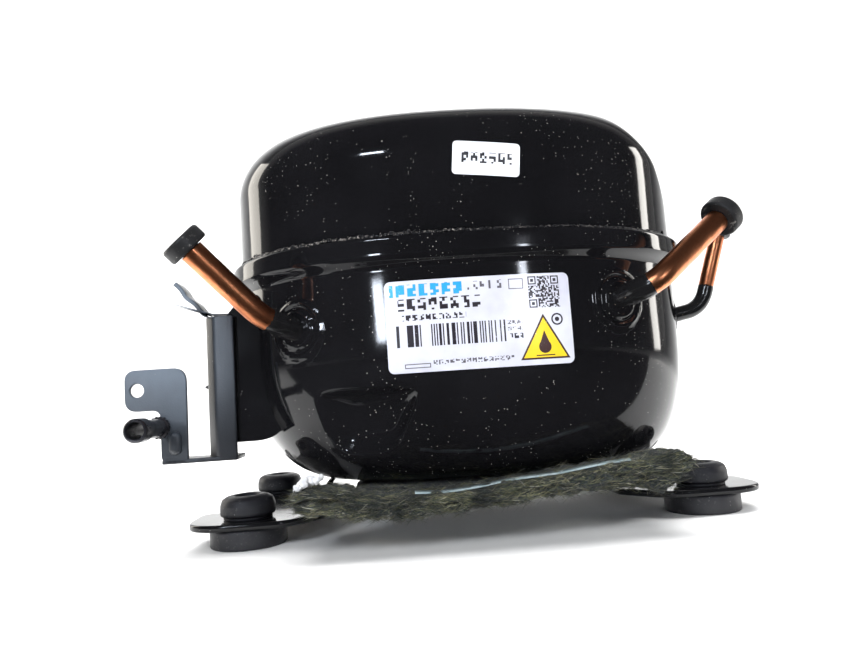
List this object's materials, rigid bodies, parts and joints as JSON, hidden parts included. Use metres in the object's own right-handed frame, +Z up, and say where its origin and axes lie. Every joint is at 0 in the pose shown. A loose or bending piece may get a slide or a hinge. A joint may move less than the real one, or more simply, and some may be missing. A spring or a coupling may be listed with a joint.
{
  "type": "hermetic refrigeration compressor",
  "caption": "Black hermetic refrigerator compressor with a pot-shaped welded shell, copper stubs with rubber plugs, rubber feet, controller bracket, felt mat and an inner piston pump.",
  "frame": {"origin": "centre of the four foot bores, on the ground under the feet", "axes": "+Z up; +X along the shell, away from the controller bracket; -Y faces the nameplate side"},
  "size_m": [0.2416, 0.1625, 0.1555],
  "materials": {
    "shell_paint": "gloss",
    "base_paint": "gloss",
    "weld_paint": "semi-gloss",
    "copper": "drawn",
    "tube_paint": "gloss",
    "rubber": "matt",
    "foil": "satin",
    "sticker": "satin",
    "felt": "matt",
    "bracket_paint": "semi-gloss",
    "steel": "satin",
    "spring_steel": "satin",
    "lamination": "satin",
    "winding": "enamelled",
    "magnet": "satin",
    "iron": "machined",
    "alloy": "cast",
    "gasket_fibre": "matt",
    "muffler_plastic": "matt"
  },
  "bodies": {
    "housing": {"lower_shell": "shell_paint", "upper_shell": "shell_paint", "weld_bead": "weld_paint", "nameplate": "foil", "plain_sticker": "sticker", "process_tube": "copper", "suction_tube": "copper", "discharge_tube": "copper", "process_bush": "tube_paint", "suction_bush": "tube_paint", "discharge_bush": "tube_paint", "base_plate_left": "base_paint", "base_plate_right": "base_paint", "foot_front_left": "rubber", "foot_back_left": "rubber", "foot_front_right": "rubber", "foot_back_right": "rubber", "felt_mat": "felt", "controller_bracket": "bracket_paint", "ground_boss": "steel", "terminal_body": "steel", "terminal_pins": "steel", "terminal_guard": "base_paint", "discharge_loop": "steel", "floor_peg_front_left": "steel", "spring_front_left": "spring_steel", "floor_peg_front_right": "steel", "spring_front_right": "spring_steel", "floor_peg_back_left": "steel", "spring_back_left": "spring_steel", "floor_peg_back_right": "steel", "spring_back_right": "spring_steel"},
    "pump": {"stator_core": "lamination", "stator_windings": "winding", "crankcase": "iron", "cylinder_gasket": "gasket_fibre", "valve_plate": "steel", "head_gasket": "gasket_fibre", "cylinder_head": "alloy", "suction_muffler": "muffler_plastic", "discharge_muffler": "steel", "stator_bolt_front_left": "steel", "stator_bolt_front_right": "steel", "stator_bolt_back_left": "steel", "stator_bolt_back_right": "steel"},
    "crank": {"crankshaft": "iron", "counterweight": "steel", "oil_pickup": "steel", "rotor_core": "lamination", "rotor_magnets": "magnet"},
    "slider": {"slider_block": "iron"},
    "carrier": {"yoke_carrier": "steel"},
    "yoke": {"yoke_and_piston": "iron"},
    "suction_reed": {"suction_reed": "spring_steel"},
    "discharge_reed": {"discharge_reed": "spring_steel"},
    "process_plug": {"process_plug": "rubber"},
    "suction_plug": {"suction_plug": "rubber"},
    "discharge_plug": {"discharge_plug": "rubber"}
  },
  "joints": [
    {"name": "pump_float", "type": "slide", "parent": "housing", "child": "pump", "axis": [0, 0, 1], "range_m": [-0.0025, 0.0025], "stiffness_N_per_m": 20000, "springref_m": 0.00155, "deforming": ["spring_front_left", "spring_front_right", "spring_back_left", "spring_back_right", "discharge_loop"]},
    {"name": "crank_spin", "type": "hinge", "parent": "pump", "child": "crank", "pos_m": [0, 0, 0.1], "axis": [0, 0, 1], "continuous": true},
    {"name": "slider_turn", "type": "hinge", "parent": "crank", "child": "slider", "pos_m": [0.008, 0, 0.116], "axis": [0, 0, 1], "continuous": true},
    {"name": "carrier_turn", "type": "hinge", "parent": "crank", "child": "carrier", "pos_m": [0.004, 0, 0.1221], "axis": [0, 0, 1], "continuous": true},
    {"name": "yoke_stroke", "type": "hinge", "parent": "carrier", "child": "yoke", "pos_m": [0.008, 0, 0.116], "axis": [0, 0, 1], "continuous": true},
    {"name": "suction_reed_flex", "type": "hinge", "parent": "pump", "child": "suction_reed", "pos_m": [-0.04875, -0.0045, 0.111], "axis": [0, 1, 0], "range_deg": [0, 3], "stiffness_Nm_per_rad": 0.02},
    {"name": "discharge_reed_flex", "type": "hinge", "parent": "pump", "child": "discharge_reed", "pos_m": [-0.05105, 0.0045, 0.111], "axis": [0, -1, 0], "range_deg": [0, 5], "stiffness_Nm_per_rad": 0.02},
    {"name": "process_plug_pull", "type": "slide", "parent": "housing", "child": "process_plug", "axis": [-0.6334, -0.3399, 0.6952], "range_m": [0, 0.02]},
    {"name": "suction_plug_pull", "type": "slide", "parent": "housing", "child": "suction_plug", "axis": [0.7567, 0.2655, 0.5974], "range_m": [0, 0.02]},
    {"name": "discharge_plug_pull", "type": "slide", "parent": "housing", "child": "discharge_plug", "axis": [0.3191, 0, 0.9477], "range_m": [0, 0.02]}
  ],
  "couplings": [
    {"joint": "slider_turn", "follows": "crank_spin", "ratio": -1},
    {"joint": "carrier_turn", "follows": "crank_spin", "ratio": -2},
    {"joint": "yoke_stroke", "follows": "crank_spin", "ratio": 1}
  ]
}
